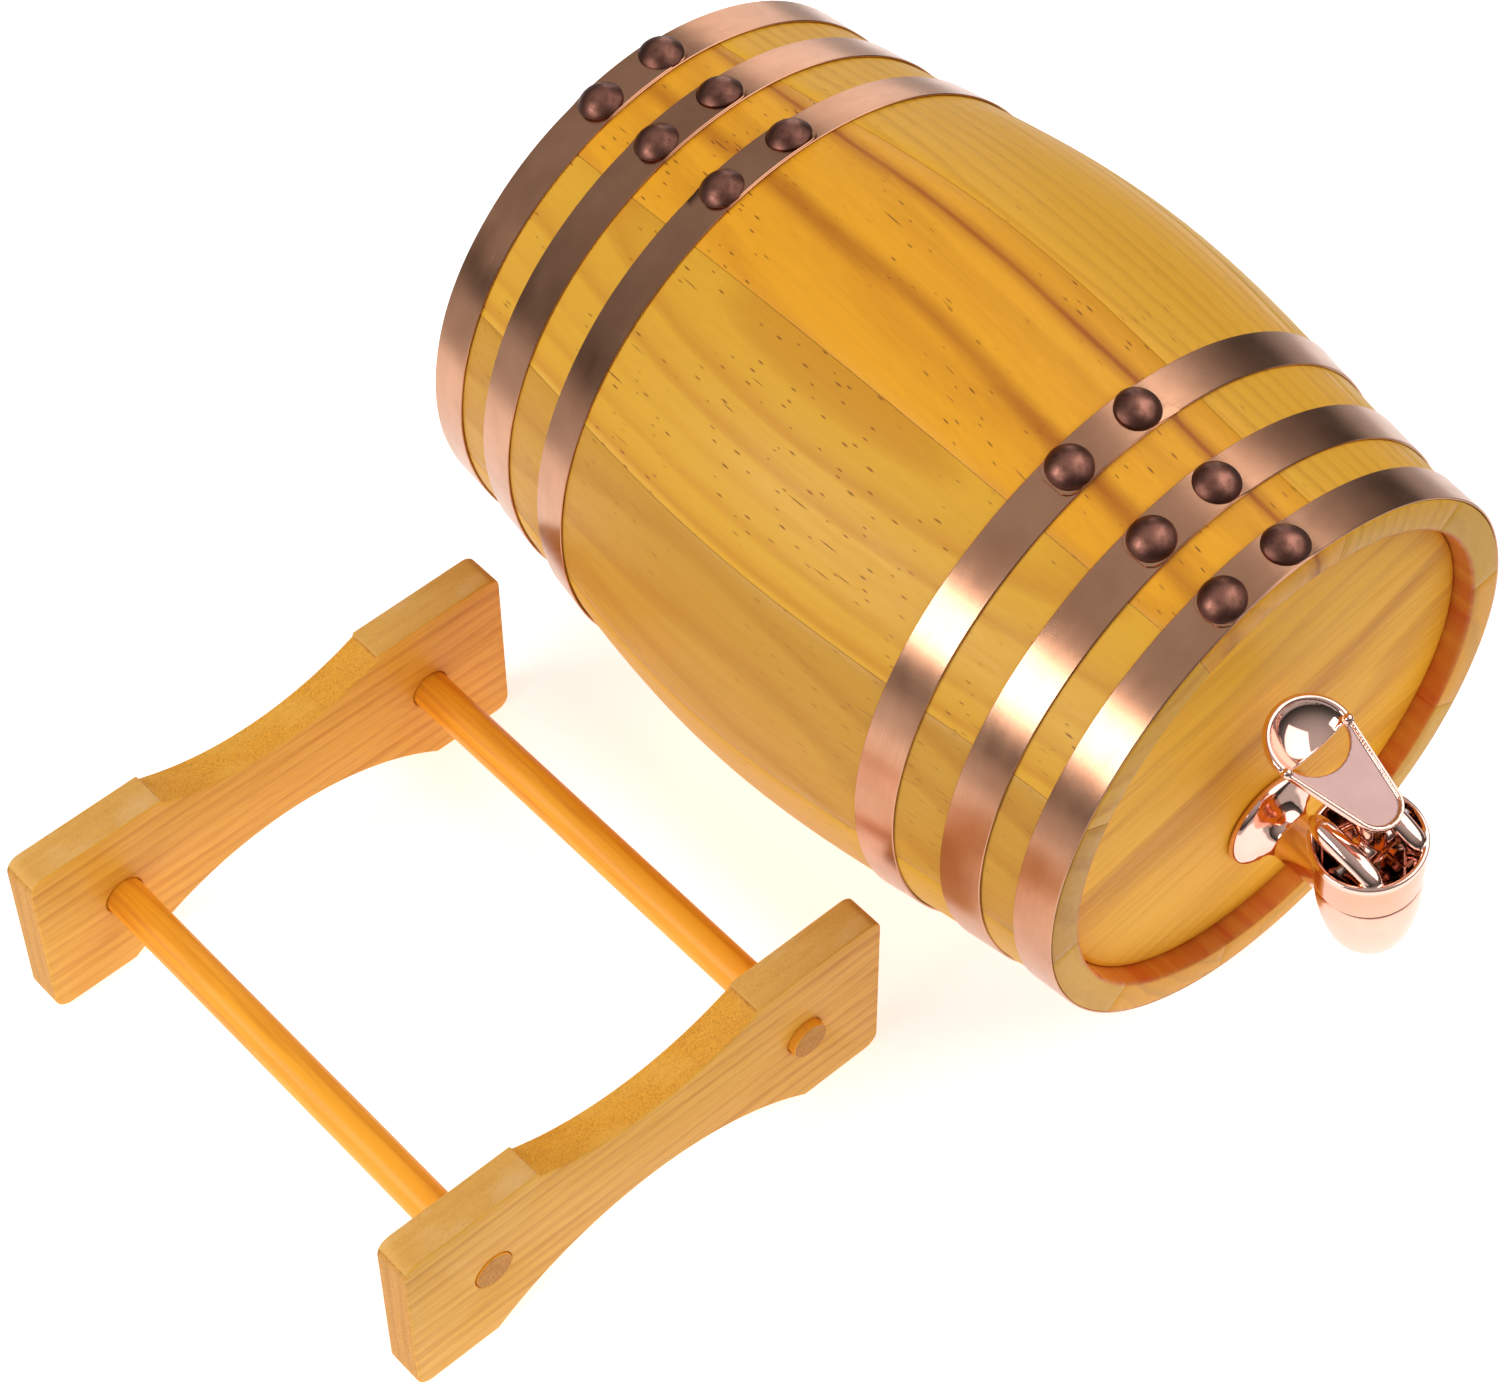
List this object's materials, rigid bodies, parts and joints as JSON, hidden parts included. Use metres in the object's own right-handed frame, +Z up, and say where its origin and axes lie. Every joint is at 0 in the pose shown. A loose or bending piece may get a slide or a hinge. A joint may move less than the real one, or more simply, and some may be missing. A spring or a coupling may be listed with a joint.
{
  "type": "wine barrel with stand",
  "caption": "Small coopered wine barrel with riveted metal hoops and a lever tap in its front head, lying on the floor beside its two-board cradle stand.",
  "frame": {"origin": "on the floor, at the centre of the bounding box of barrel, tap and stand together", "axes": "+Z up; the barrel's axis runs along Y with the tapped head towards -Y; the stand lies on the barrel's -X side with its boards across the axis"},
  "size_m": [0.3179, 0.266, 0.1749],
  "materials": {
    "stave_wood": "clear satin lacquer over honey-coloured, figured softwood-like grain",
    "head_wood": "clear satin lacquer, straight grain",
    "stand_wood": "clear satin lacquer, rougher on the sawn end grain",
    "dowel_wood": "clear satin lacquer",
    "hoop_copper": "thin copper-plated steel band, rolled and satin, lightly scratched",
    "rivet_copper": "domed rivet heads, dark antique copper",
    "rose_plating": "rose-gold coloured plating, polished",
    "silicone": "pale moulded silicone",
    "steel": "bright turned rod"
  },
  "bodies": {
    "stand": {"front_board": "stand_wood", "rear_board": "stand_wood", "left_dowel": "dowel_wood", "right_dowel": "dowel_wood"},
    "barrel": {"stave_01": "stave_wood", "stave_02": "stave_wood", "stave_03": "stave_wood", "stave_04": "stave_wood", "stave_05": "stave_wood", "stave_06": "stave_wood", "stave_07": "stave_wood", "stave_08": "stave_wood", "stave_09": "stave_wood", "stave_10": "stave_wood", "front_head": "head_wood", "rear_head": "head_wood", "hoop_1": "hoop_copper", "hoop_2": "hoop_copper", "hoop_3": "hoop_copper", "hoop_4": "hoop_copper", "hoop_5": "hoop_copper", "hoop_6": "hoop_copper", "rivet_1a": "rivet_copper", "rivet_1b": "rivet_copper", "rivet_2a": "rivet_copper", "rivet_2b": "rivet_copper", "rivet_3a": "rivet_copper", "rivet_3b": "rivet_copper", "rivet_4a": "rivet_copper", "rivet_4b": "rivet_copper", "rivet_5a": "rivet_copper", "rivet_5b": "rivet_copper", "rivet_6a": "rivet_copper", "rivet_6b": "rivet_copper", "tap_body": "rose_plating", "tap_bonnet": "rose_plating", "lever_pin": "steel", "outer_washer": "silicone", "inner_washer": "silicone", "shank_nut": "rose_plating"},
    "lever": {"tap_lever": "rose_plating"},
    "valve": {"valve_stem": "steel", "seat_cup": "silicone"},
    "bung": {"bung": "head_wood"}
  },
  "joints": [
    {"name": "barrel_lift", "type": "slide", "parent": "stand", "child": "barrel", "axis": [0, 0, 1], "range_m": [0, 0.15]},
    {"name": "tap_lever", "type": "hinge", "parent": "barrel", "child": "lever", "pos_m": [0.07188, -0.1197, 0.08494], "axis": [0.9863, 0, 0.165], "range_deg": [0, 55], "stiffness_Nm_per_rad": 0.02},
    {"name": "valve_lift", "type": "slide", "parent": "barrel", "child": "valve", "axis": [-0.165, 0, 0.9863], "range_m": [0, 0.0015]},
    {"name": "bung_pull", "type": "slide", "parent": "barrel", "child": "bung", "axis": [0, 1, 0], "range_m": [0, 0.03]}
  ],
  "couplings": [
    {"joint": "valve_lift", "follows": "tap_lever", "m_per_rad": 0.001562}
  ]
}
